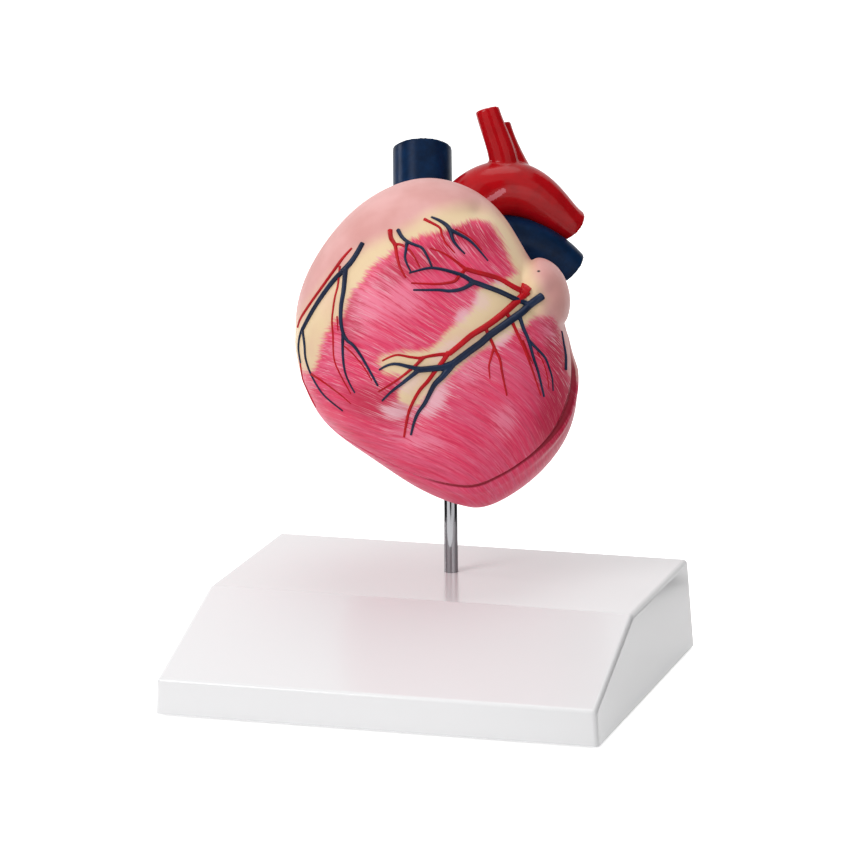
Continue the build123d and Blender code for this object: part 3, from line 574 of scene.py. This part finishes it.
def skinMaterial(closedSurface):
    # Satin hand paint over a resin casting
    g = Graph("painted_resin_skin")
    along, across, depth = (g.attribute(n) for n in ("along", "across", "depth"))

    def strokes(acrossScale, alongScale, depthScale, detail=2.0, roughness=0.6):
        parts = {
            "X": g.math("MULTIPLY", across, acrossScale),
            "Y": g.math("MULTIPLY", along, alongScale),
            "Z": g.math("MULTIPLY", depth, depthScale),
        }
        return g.noise(g.node("CombineXYZ", parts).outputs[0], 1.0, detail, roughness)

    fine = strokes(0.72, 0.027, 0.12, 3.0, 0.7)
    broad = strokes(0.2, 0.010, 0.05, 2.0)
    hair = strokes(1.35, 0.036, 0.2, 2.0)
    patchy = g.noise(g.place(0.045), 1.0, 3.0, 0.55)
    fringe = g.math("ADD", g.math("SUBTRACT", fine, 0.5), g.math("SUBTRACT", hair, 0.5))
    border = g.math("MULTIPLY", fringe, skinPaint["strokeReach"])
    edge = g.math("ADD", g.attribute("muscle"), border)
    muscleShare = g.step(edge, -3.5, 3.5)
    fatShare = g.step(g.attribute("fat"), -13.0, 7.0)
    base = g.mix(g.step(patchy, 0.3, 0.7), skinPaint["atrium"], skinPaint["atriumDeep"])
    base = g.mix(g.math("MULTIPLY", g.step(patchy, 0.45, 0.8), 0.35), base, skinPaint["atriumDeep"])
    fat = g.mix(g.math("MULTIPLY", g.step(patchy, 0.5, 0.75), 0.5), skinPaint["fat"], skinPaint["fatPink"])
    base = g.mix(fatShare, base, fat)
    streaked = g.math("ADD", g.attribute("pale"), g.math("MULTIPLY", fringe, 1.3))
    paleShare = g.math("MULTIPLY", g.step(streaked, 0.25, 0.95), 0.85)
    base = g.mix(g.math("MULTIPLY", paleShare, 0.5), base, skinPaint["pale"])
    # Painted shade: the auricle is mixed towards a darker beige
    base = g.mix(g.math("MULTIPLY", g.attribute("auricleShade"), 0.65), base, skinPaint["auricleShade"])
    # A small dark dot painted on the skin
    darkDotPlace = closedSurface.ray_cast(Vector(cameraPlace), rayThrough(darkDot["pixel"]))[0]
    where = g.node("TexCoord").outputs["Object"]
    fromDarkDot = g.node("VectorMath", {0: where, 1: darkDotPlace}, operation="DISTANCE").outputs["Value"]
    base = g.mix(g.step(fromDarkDot, 2 * darkDot["radius"], darkDot["radius"]), base, darkDot["colour"])
    muscle = g.mix(g.step(broad, 0.32, 0.68), skinPaint["muscle"], skinPaint["muscleMiddle"])
    # Deeper crimson paint, and painted shade on the heart's right side, broken up by broad strokes
    deepAndShade = g.math("MULTIPLY", g.step(g.math("ADD", g.attribute("deepAndShade"), broad), 0.45, 1.35), 0.85)
    muscle = g.mix(deepAndShade, muscle, skinPaint["muscleDeepAndShade"])
    # Lighter pink strokes, and a painted highlight on the left ventricle
    lightAndHighlightShare = g.math("MULTIPLY", g.step(g.math("ADD", fine, g.attribute("light")), 0.5, 0.92), 0.7)
    muscle = g.mix(lightAndHighlightShare, muscle, skinPaint["muscleLightAndHighlight"])
    nearBorder = g.math("ADD", g.math("MULTIPLY", g.step(g.attribute("muscle"), 50.0, 4.0), 0.42), 0.1)
    muscle = g.mix(g.math("MULTIPLY", g.step(hair, 0.53, 0.68), nearBorder), muscle, skinPaint["pale"])
    muscle = g.mix(g.math("MULTIPLY", g.step(fine, 0.5, 0.36), 0.42), muscle, skinPaint["muscleDeepAndShade"])
    muscle = g.mix(g.math("MULTIPLY", paleShare, 0.8), muscle, skinPaint["pale"])
    skin = g.mix(muscleShare, base, muscle)
    # Dark red band along the seam: seam paint and painted shade in the groove, strongest where the seam
    # shows on the right and lower edge
    ragged = g.math("ADD", g.attribute("seam"), g.math("MULTIPLY", g.math("SUBTRACT", patchy, 0.5), 0.8))
    shown = g.math("MULTIPLY_ADD", g.attribute("seamShown"), 0.83, 0.12)
    seamPaintAndShadeShare = g.math("MULTIPLY", g.step(ragged, 0.95, 0.35), shown)
    skin = g.mix(seamPaintAndShadeShare, skin, skinPaint["seamRedAndShade"])
    right = g.step(g.attribute("side"), 5.0, -2.0)
    chamber = g.mix(right, skinPaint["chamberLeft"], skinPaint["chamberRight"])
    cutStrokes = g.noise(g.place(0.35), 1.0, 4.0, 0.6)
    cutFace = g.mix(g.step(cutStrokes, 0.35, 0.65), skinPaint["cutFace"], skinPaint["muscleDeepAndShade"])
    inside = g.mix(g.step(g.attribute("cut"), 0.3, 0.7), chamber, cutFace)
    colour = g.mix(g.step(g.attribute("inner"), 0.3, 0.7), skin, inside)
    relief = g.math("ADD", g.math("MULTIPLY", fine, 0.5), g.noise(g.place(0.5), 1.0, 3.0))
    normal = g.bump(relief, 0.25, 0.00035)
    return g.finish(
        {
            "Base Color": colour,
            "Roughness": skinPaint["roughness"],
            "Specular IOR Level": skinPaint["gloss"],
            "Normal": normal,
        }
    )


# Coronary vessels: routes in photograph pixels, and widths in pixels at the start and the end of each

arteryRoutes = {
    "left": [
        ([(521, 287), (525, 290), (529, 293)], 10.5, 10.5),
        ([(528, 291), (515, 303), (505, 312), (495, 320), (485, 327), (472, 335), (460, 345),
          (449, 354)], 8, 5),
        ([(449, 354), (440, 354.5), (430, 356), (420, 358), (410, 357), (398, 355), (390, 357),
          (382, 361)], 3.6, 1.4),
        ([(424, 357), (416, 365), (409, 371), (400, 378), (388, 386), (378, 392)], 3.6, 1.2),
        ([(449, 352), (443, 361), (436, 370), (428, 381), (420, 390), (413, 402), (408, 415),
          (404, 437)], 5, 2),
        ([(485, 327), (490, 338), (495, 349), (500, 360), (502, 372), (507, 396)], 3.8, 1.3),
        ([(494, 347), (491, 358), (489, 366), (490, 379)], 2.6, 1.0),
        ([(507, 314), (512, 322), (518, 335), (524, 348), (533, 372), (541, 396)], 4.0, 1.2),
        ([(527, 293), (520, 290), (512, 286), (500, 279), (488, 275), (476, 272), (466, 269)], 6.5, 4.2),
        ([(467, 270), (458, 263), (450, 257), (441, 252), (430, 248)], 3.6, 1.2),
        ([(464, 271), (459, 276), (455, 281), (447, 283), (435, 284), (411, 283)], 3.4, 1.4),
        ([(523, 340), (527, 350), (533, 364)], 1.6, 0.9),
        ([(537, 352), (543, 362), (547, 375), (549, 389)], 1.4, 0.9),
    ],
    "right": [
        ([(352, 248), (343, 258), (338, 265)], 2.0, 3.8),
        ([(338, 265), (330, 276), (320, 290), (310, 304), (301, 318), (298, 327)], 3.6, 3.0),
        ([(340, 266), (338, 285), (335, 297), (333, 310), (332, 322), (333, 335), (334, 358),
          (340, 374), (351, 394)], 2.6, 1.2),
        ([(337, 316), (338, 331)], 1.6, 1.0),
        ([(344, 346), (352, 353), (363, 366), (372, 381)], 1.4, 0.9),
        ([(311, 374), (322, 381), (333, 389), (342, 396), (351, 404)], 2.8, 1.0),
        ([(299, 352), (301, 366), (303, 379), (309, 393), (316, 407)], 3.0, 1.6),
        ([(390, 230), (391, 238), (395, 245), (397, 256), (400, 267), (406, 278)], 5.2, 1.4),
        ([(396, 244), (402, 245), (407, 248), (412, 253), (420, 267)], 2.6, 1.1),
        ([(424, 219), (432, 223), (440, 228), (442, 235), (446, 243), (455, 253)], 3.4, 1.0),
        ([(455, 229), (465, 234), (474, 241), (482, 250)], 1.8, 0.9),
    ],
}
veinRoutes = {
    "left": [
        ([(542, 296), (531, 304), (521, 313), (511, 320), (500, 328), (490, 335), (481, 343),
          (470, 351), (450, 366)], 7.6, 6.4),
        ([(452, 364), (444, 367), (437, 368), (427, 369), (417, 370)], 6.6, 5.4),
        ([(420, 369), (408, 366.5), (400, 364.5), (393, 364), (386, 366), (379, 370)], 4.6, 1.4),
        ([(419, 370), (410, 377), (400, 385), (391, 392), (382, 401)], 4.6, 1.5),
        ([(452, 365), (443, 376), (435, 384), (430, 393), (425, 403), (418, 413), (414, 423),
          (411, 435)], 6.8, 1.8),
        ([(527, 304), (515, 299), (500, 292), (487, 287), (476, 283), (469, 281)], 5.0, 4.6),
        ([(473, 282), (463, 276), (452, 272), (440, 269), (430, 268), (420, 270), (409, 273)], 4.6, 1.4),
        ([(473, 283), (462, 289), (450, 291), (440, 290), (428, 290), (413, 290)], 4.2, 1.4),
        ([(519, 315), (523, 328), (527, 337), (530, 346), (534, 360), (538, 372), (544, 397)], 4.0, 1.6),
        ([(529, 341), (538, 350), (545, 358), (549, 368), (552, 378), (553, 391)], 3.0, 1.2),
        ([(561.5, 331), (563.5, 344), (565.3, 356), (565.2, 370)], 1.4, 3.4),
    ],
    "right": [
        ([(363, 243), (357, 254), (351, 263), (343, 272)], 4.4, 5.8),
        ([(345, 270), (334, 281), (322, 297), (312, 313), (303, 330)], 5.4, 4.2),
        ([(303, 328), (300, 338), (299, 349), (301, 363)], 3.2, 1.8),
        ([(303, 329), (305, 345), (306, 358), (310, 371), (317, 385), (326, 397), (343, 411)], 3.0, 1.3),
        ([(346, 269), (344, 290), (341.5, 305), (341, 320), (343, 332), (347, 340), (354, 346),
          (363, 359), (378, 386)], 5.2, 1.6),
        ([(343, 334), (343, 355), (345, 371), (349, 382), (355, 393)], 3.0, 1.2),
        ([(398, 230), (402, 237), (408, 242), (415, 245), (422, 248), (427, 256), (432, 267)], 3.8, 1.6),
        ([(407, 241), (406, 250), (405, 257), (407, 264), (411, 272)], 3.2, 1.2),
        ([(431, 217), (440, 221), (447, 226), (451, 232)], 1.6, 4.6),
        ([(450, 230), (453, 240), (458, 247), (465, 254)], 4.0, 1.3),
        ([(450, 230), (462, 236), (470, 241), (478, 249), (488, 261)], 4.0, 1.1),
    ],
}
# Vessels of the back, on the same pixels, as seen through the heart from the front
rearArteryRoutes = [
    ([(400, 292), (424, 306), (440, 326), (454, 360), (472, 402), (494, 446)], 5.5, 1.8),
    ([(440, 326), (424, 354), (410, 384), (406, 404)], 3.4, 1.2),
    ([(454, 360), (486, 378), (512, 406)], 3.4, 1.2),
    ([(472, 402), (460, 430), (452, 460)], 3.0, 1.2),
    ([(424, 306), (396, 330), (370, 364)], 3.4, 1.2),
]
rearVeinRoutes = [
    ([(392, 278), (436, 290), (492, 296), (542, 319)], 9.0, 6.0),
    ([(436, 292), (456, 322), (470, 356), (488, 398), (510, 438)], 6.0, 1.8),
    ([(456, 322), (492, 342), (526, 374)], 3.6, 1.3),
    ([(488, 398), (516, 410), (536, 430)], 3.0, 1.2),
]
vesselLook = {
    "millimetresPerPixel": 0.357,
    "sink": 0.18,
    "veinLift": 0.35,
    "extraPixels": 0.55,
    "voxel": 0.00017,
    "smoothRounds": 3,
    "stepPixels": 1.6,
    "ringPoints": 14,
    "beyond": 3.0,
}


def smoothRoute(route):
    # Evenly spaced points of a smooth line through the route, with the share of the way along.
    knots = np.array([route[0], *route, route[-1]], float)
    points = []
    for i in range(len(knots) - 3):
        a, b, c, d = knots[i : i + 4]
        count = max(2, int(np.linalg.norm(c - b) / vesselLook["stepPixels"]))
        square = 2 * a - 5 * b + 4 * c - d
        cube = 3 * b - a - 3 * c + d
        for t in np.arange(count) / count:
            points.append(0.5 * (2 * b + (c - a) * t + square * t**2 + cube * t**3))
    points.append(knots[-1])
    return np.array(points)


def tubeNodes(name):
    # A node tree that sweeps a ring along each vessel's line, as thick as the line's own radius says
    tree = bpy.data.node_groups.new(name, "GeometryNodeTree")
    tree.interface.new_socket("Lines", in_out="INPUT", socket_type="NodeSocketGeometry")
    ids = {}
    for label, kind in (("Ring points", "Int"), ("Radius unit", "Float"), ("Paint", "Material")):
        socket = tree.interface.new_socket(label, in_out="INPUT", socket_type="NodeSocket" + kind)
        ids[label] = socket.identifier
    tree.interface.new_socket("Tubes", in_out="OUTPUT", socket_type="NodeSocketGeometry")
    given = tree.nodes.new("NodeGroupInput")
    result = tree.nodes.new("NodeGroupOutput")
    kinds = ("CurvePrimitiveCircle", "CurveToMesh", "InputRadius", "RealizeInstances", "SetMaterial")
    ring, sweep, radius, real, paint = (tree.nodes.new("GeometryNode" + kind) for kind in kinds)
    sweep.inputs["Fill Caps"].default_value = True
    for source, target in (
        (given.outputs["Ring points"], ring.inputs["Resolution"]),
        (given.outputs["Radius unit"], ring.inputs["Radius"]),
        (given.outputs["Lines"], sweep.inputs["Curve"]),
        (ring.outputs["Curve"], sweep.inputs["Profile Curve"]),
        (radius.outputs["Radius"], sweep.inputs["Scale"]),
        (sweep.outputs["Mesh"], real.inputs["Geometry"]),
        (real.outputs["Geometry"], paint.inputs["Geometry"]),
        (given.outputs["Paint"], paint.inputs["Material"]),
        (paint.outputs["Geometry"], result.inputs["Tubes"]),
    ):
        tree.links.new(source, target)
    return tree, ids


def vesselTree(name, routes, skin, fromBehind, lift, paint):
    # Raised, tapering vessels that lie on the skin, merged where they branch
    curve = bpy.data.curves.new(name, "CURVE")
    curve.dimensions = "3D"
    for route, startWidth, endWidth in routes:
        points = smoothRoute(route)
        kept = []
        for i, pixel in enumerate(points):
            direction = rayThrough(pixel)
            start = Vector(cameraPlace)
            if fromBehind:
                start, direction = start + direction * vesselLook["beyond"], -direction
            place, normal, _, _ = skin.ray_cast(start, direction)
            if place is None:
                continue
            share = i / (len(points) - 1)
            width = startWidth + (endWidth - startWidth) * share**0.8
            radius = (width + vesselLook["extraPixels"]) / 2 * vesselLook["millimetresPerPixel"]
            out = (lift - vesselLook["sink"]) * radius / 1000
            kept.append((place + normal * out, radius))
        if len(kept) < 2:
            continue
        spline = curve.splines.new("POLY")
        spline.points.add(len(kept) - 1)
        for point, (place, radius) in zip(spline.points, kept):
            point.co = (*place, 1.0)
            point.radius = radius
    work = bpy.data.objects.new(name + "_curve", curve)
    bpy.context.scene.collection.objects.link(work)
    tubes = work.modifiers.new("tubes", "NODES")
    tubes.node_group, ids = tubeNodes(name + "_tubes")
    tubes[ids["Ring points"]] = vesselLook["ringPoints"]
    tubes[ids["Radius unit"]] = 0.001
    tubes[ids["Paint"]] = paint
    rounded = baked(work, name + "_tubes")
    tree = remeshed(rounded, name, vesselLook["voxel"], vesselLook["smoothRounds"])
    bpy.data.objects.remove(rounded)
    return tree


def paintMaterial(name, colour, shade, roughness, speckle=0.0, bumpSize=0.0, gloss=0.17, scratch=None):
    # Gloss or satin paint brushed over resin.
    g = Graph(name)
    cloud = g.noise(g.place(0.12), 1.0, 4.0, 0.6)
    tone = g.mix(g.step(cloud, 0.3, 0.7), colour, shade)
    if scratch:
        marks = g.noise(g.place(1.6), 1.0, 2.0, 0.6)
        worn = g.step(g.math("ADD", g.attribute("scratch"), g.math("SUBTRACT", marks, 0.75)), 0.25, 0.4)
        tone = g.mix(g.math("MULTIPLY", worn, 0.75), tone, scratch)
    inputs = {"Base Color": tone, "Roughness": roughness, "Specular IOR Level": gloss}
    if speckle:
        grain = g.noise(g.place(0.9), 1.0, 4.0, 0.7)
        inputs["Roughness"] = g.math("MULTIPLY_ADD", grain, speckle, roughness - speckle / 2)
    if bumpSize:
        small = g.math("MULTIPLY", g.noise(g.place(1.1), 1.0, 2.0), 0.25)
        lumps = g.math("ADD", g.noise(g.place(0.25), 1.0, 3.0), small)
        inputs["Normal"] = g.bump(lumps, 0.6, bumpSize)
    return g.finish(inputs)


def plainMaterial(name, colour, roughness, metallic=0.0):
    g = Graph(name)
    return g.finish({"Base Color": colour, "Roughness": roughness, "Metallic": metallic})


def buildHeart():
    front, rear = nodes["front_heart_half"], nodes["rear_heart_half"]
    closed = surfaceOf(front, rear)
    skin = skinMaterial(closed)
    halves = {}
    for node, name, body in (
        ("front_heart_half", "front_casting", "heart_front"),
        ("rear_heart_half", "rear_casting", "heart_rear"),
    ):
        half = heartHalf(node, name, closed)
        setMaterial(half, skin)
        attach(half, body)
        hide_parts(node)
        halves[name] = half
        stamp(f"{name}: {len(half.data.polygons)} faces")
    return halves


def buildCoronaries(halves):
    frontSkin = surfaceOf(halves["front_casting"])
    rearSkin = surfaceOf(halves["rear_casting"])
    # Satin red and slate blue paint on the raised vessels
    artery = paintMaterial("coronary_artery_paint", "#C4121F", "#A80F1A", 0.34, 0.15, 0.00012)
    vein = paintMaterial("coronary_vein_paint", "#1F2F4C", "#171F36", 0.34, 0.15, 0.00012)
    lift = vesselLook["veinLift"]
    jobs = [
        ("left_arteries", "left_coronary_artery", arteryRoutes["left"], 0.0, artery),
        ("right_arteries", "right_coronary_artery", arteryRoutes["right"], 0.0, artery),
        ("left_veins", "left_coronary_vein", veinRoutes["left"], lift, vein),
        ("right_veins", "right_coronary_vein", veinRoutes["right"], lift, vein),
        ("rear_arteries", "rear_coronary_artery", rearArteryRoutes, 0.0, artery),
        ("rear_veins", "rear_coronary_vein", rearVeinRoutes, lift, vein),
    ]
    for name, node, routes, rise, material in jobs:
        onRear = name.startswith("rear")
        tree = vesselTree(name, routes, rearSkin if onRear else frontSkin, onRear, rise, material)
        setMaterial(tree, material)
        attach(tree, "heart_rear" if onRear else "heart_front")
        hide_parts(node)
        stamp(f"{name}: {len(tree.data.polygons)} faces")


# Great vessels, with the worn mark in the red paint: voxel in metres, mark in pixels of the photograph
vesselCast = {
    "voxel": 0.0005,
    "smoothRounds": 4,
    "markLine": [(485, 202), (503, 191)],
    "markReach": 3.6,
    "markColour": "#D8808A",
}


def buildGreatVessels():
    # Gloss red and navy paint, brushed on
    worn = vesselCast["markColour"]
    red = paintMaterial("great_artery_paint", "#B40A14", "#9F0911", 0.16, 0.08, 0.00008, 0.2, worn)
    navy = paintMaterial("great_vein_paint", "#0A2B50", "#081C36", 0.3, 0.1, 0.0001, 0.08)
    jobs = [
        ("cranial_vena_cava", navy, "vein_paint"),
        ("caudal_vena_cava", navy, "vein_paint"),
        ("pulmonary_trunk", navy, "vein_paint"),
        ("aortic_arch", red, "artery_paint"),
        ("pulmonary_veins", red, "artery_paint"),
    ]
    for node, material, slotName in jobs:
        vessel = remeshed(nodes[node], node + "_cast", vesselCast["voxel"], vesselCast["smoothRounds"])
        fromMark = lineDistance(toPixels(vertexPlaces(vessel.data)), vesselCast["markLine"])
        facing = vertexNormals(vessel.data)[:, 1] < 0
        mark = np.exp(-((fromMark / vesselCast["markReach"]) ** 2)) * facing
        addAttribute(vessel.data, "scratch", mark)
        setMaterial(vessel, material)
        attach(vessel, "heart_rear")
        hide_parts(node)
    stamp("great vessels")


# Pillars inside the ventricles, in metres
pillarLook = {
    "voxel": 0.0004,
    "smoothRounds": 14,
}


def buildInside():
    # Cream valve paint, crimson pillars, plain cords, nickelled magnets and ground steel pins
    valve = paintMaterial("valve_paint", "#EBDCBD", "#DCC6A0", 0.4)
    pillar = paintMaterial("pillar_paint", "#C4475A", "#A8384C", 0.4)
    cordPlastic = plainMaterial("cord_plastic", "#EFE6D2", 0.45)
    nickel = plainMaterial("nickel_plate", "#C9C9C6", 0.22, 1.0)
    steel = plainMaterial("ground_steel", "#B9B9B9", 0.3, 1.0)
    sleeve = plainMaterial("sleeve_plastic", "#E4E2DC", 0.45)
    for name in ("tricuspid_valve", "mitral_valve", "aortic_valve", "pulmonary_valve"):
        setMaterial(nodes[name], valve)
    for name in ("left_heart_cords", "right_heart_cords"):
        setMaterial(nodes[name], cordPlastic)
    for name in ("rear_magnets", "front_magnets"):
        setMaterial(nodes[name], nickel)
    setMaterial(nodes["dowel_pins"], steel)
    setMaterial(nodes["rod_sleeve"], sleeve)
    for name in ("left_papillary_muscles", "right_papillary_muscles"):
        muscle = remeshed(nodes[name], name + "_cast", pillarLook["voxel"], pillarLook["smoothRounds"])
        setMaterial(muscle, pillar)
        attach(muscle, "heart_rear")
        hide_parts(name)


def buildStand():
    # Gloss white moulded plastic
    g = Graph("gloss_white_plastic")
    grain = g.noise(g.place(0.02), 1.0, 2.0)
    normal = g.bump(grain, 0.05, 0.0005)
    white = g.finish(
        {
            "Base Color": "#EDEDEE",
            "Roughness": 0.2,
            "Specular IOR Level": 0.45,
            "Coat Weight": 0.25,
            "Coat Roughness": 0.12,
            "Normal": normal,
        }
    )
    setMaterial(nodes["base_housing"], white)
    setMaterial(nodes["rubber_feet"], plainMaterial("black_rubber", "#232323", 0.7))
    # Polished bar with the faint marks of drawing along it
    g = Graph("polished_steel_rod")
    streaks = g.node("VectorMath", {0: g.place(1.0), 1: (1.0, 1.0, 0.02)}, operation="MULTIPLY").outputs[0]
    drawn = g.noise(streaks, 6.0, 2.0)
    normal = g.bump(drawn, 0.1, 0.0001)
    rod = g.finish({"Base Color": "#98989B", "Metallic": 1.0, "Roughness": 0.07, "Normal": normal})
    setMaterial(nodes["support_rod"], rod)
    zinc = plainMaterial("zinc_plate", "#A9A9A4", 0.35, 1.0)
    for name in ("rod_washer", "rod_screw"):
        setMaterial(nodes[name], zinc)


# Lights: place and aim in metres, size in metres, power in watts
lamps = {
    "key": {"at": (-0.85, -1.15, 1.2), "aim": (0.0, 0.0, 0.1), "size": 0.8, "watts": 11.6},
    "fill": {"at": (1.1, -1.2, 0.3), "aim": (0.0, 0.0, 0.06), "size": 1.2, "watts": 3.8},
    "top": {"at": (0.0, 0.25, 1.5), "aim": (0.0, 0.0, 0.1), "size": 1.0, "watts": 5.2},
    "left": {"at": (-1.2, 0.15, 0.5), "aim": (0.0, 0.0, 0.14), "size": 0.35, "watts": 2.0},
}
surroundings = {
    "seen": 1.0,
    "light": 0.5,
    "floorReach": 6.0,
    "floorGlow": 0.7,
    "floorSeen": "#FFFFFF",
    "floorLit": "#EEEEEE",
}
# A low card beside the stand, out of view, which keeps the white room's light off the stand's side. Metres.
shade = {
    "x": 0.16,
    "reach": 0.3,
    "bottom": 0.0005,
    "height": 0.07,
    "grey": "#303032",
}
# Dark cards out of view, which only gloss and metal reflect. Spans are middle and half width in degrees
# from the camera, and the rest is in metres.
flags = {
    "spans": [(0, 16), (100, 30), (-100, 30)],
    "bottom": 0.0005,
    "nearest": 0.2,
    "distance": 2.6,
    "height": 3.0,
    "grey": "#303032",
}


def seenShare(tree):
    # 1 for rays from the camera, off gloss or through glass, which all see the white background
    path = tree.nodes.new("ShaderNodeLightPath")
    total = path.outputs["Is Camera Ray"]
    for label in ("Is Glossy Ray", "Is Transmission Ray"):
        both = tree.nodes.new("ShaderNodeMath")
        both.operation = "MAXIMUM"
        tree.links.new(total, both.inputs[0])
        tree.links.new(path.outputs[label], both.inputs[1])
        total = both.outputs[0]
    return total


def addStage(name, corners, faces, material, hiddenFrom=()):
    # A plane that only serves the picture. hiddenFrom names the rays that pass through it.
    mesh = bpy.data.meshes.new(name)
    mesh.from_pydata(corners, [], faces)
    plane = bpy.data.objects.new(name, mesh)
    bpy.context.scene.collection.objects.link(plane)
    plane.data.materials.append(material)
    for ray in hiddenFrom:
        setattr(plane, "visible_" + ray, False)


def buildShade():
    g = Graph("shade_card")
    g.put(g.output.inputs["Surface"], g.node("BsdfDiffuse", {"Color": shade["grey"]}))
    half = shade["reach"] / 2
    corners = [(shade["x"], y, z) for z in (shade["bottom"], shade["height"]) for y in (-half, half)]
    addStage("shade_card", corners, [(0, 1, 3, 2)], g.material, ("camera", "glossy", "transmission"))


def buildFlags():
    g = Graph("dark_card")
    g.put(g.output.inputs["Surface"], g.node("Emission", {"Color": flags["grey"]}))
    low, near, far = flags["bottom"], flags["nearest"], flags["distance"]
    for number, (middle, half) in enumerate(flags["spans"]):
        corners = []
        for reach, height in ((near, low), (far, low), (far, flags["height"])):
            for turn in (-half, half):
                angle = azimuth + math.radians(middle + turn)
                corners.append((reach * math.sin(angle), -reach * math.cos(angle), height))
        hiddenFrom = ("camera", "diffuse", "shadow", "transmission")
        addStage(f"flag_{number}", corners, [(0, 1, 3, 2), (2, 3, 5, 4)], g.material, hiddenFrom)


def buildStage():
    world = bpy.data.worlds.new("white_room")
    bpy.context.scene.world = world
    world.use_nodes = True
    tree = world.node_tree
    tree.nodes.clear()
    output = tree.nodes.new("ShaderNodeOutputWorld")
    seen = tree.nodes.new("ShaderNodeBackground")
    lit = tree.nodes.new("ShaderNodeBackground")
    seen.inputs["Strength"].default_value = surroundings["seen"]
    lit.inputs["Strength"].default_value = surroundings["light"]
    for background in (seen, lit):
        background.inputs["Color"].default_value = (1, 1, 1, 1)
    shownTo = seenShare(tree)
    mix = tree.nodes.new("ShaderNodeMixShader")
    tree.links.new(shownTo, mix.inputs[0])
    tree.links.new(lit.outputs[0], mix.inputs[1])
    tree.links.new(seen.outputs[0], mix.inputs[2])
    tree.links.new(mix.outputs[0], output.inputs["Surface"])
    g = Graph("white_paper")
    white = surroundings["floorSeen"]
    glow = g.node("Emission", {"Color": white, "Strength": surroundings["floorGlow"]})
    both = g.node("AddShader", {0: g.node("BsdfDiffuse", {"Color": white}), 1: glow})
    plain = g.node("BsdfDiffuse", {"Color": surroundings["floorLit"]})
    chosen = g.node("MixShader", {0: seenShare(g.tree), 1: plain, 2: both})
    g.put(g.output.inputs["Surface"], chosen)
    reach = surroundings["floorReach"]
    corners = [(-reach, -reach, 0), (reach, -reach, 0), (reach, reach, 0), (-reach, reach, 0)]
    addStage("floor", corners, [(0, 1, 2, 3)], g.material)
    buildFlags()
    buildShade()
    for name, lamp in lamps.items():
        data = bpy.data.lights.new(name, "AREA")
        data.shape = "DISK"
        data.size = lamp["size"]
        data.energy = lamp["watts"]
        light = bpy.data.objects.new(name, data)
        light.location = lamp["at"]
        aim = Vector(lamp["aim"]) - Vector(lamp["at"])
        light.rotation_euler = aim.to_track_quat("-Z", "Y").to_euler()
        bpy.context.scene.collection.objects.link(light)


setUpCamera()
buildStage()
buildStand()
stamp("stand")
castHalves = buildHeart()
buildCoronaries(castHalves)
buildGreatVessels()
buildInside()
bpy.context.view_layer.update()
stamp("done")
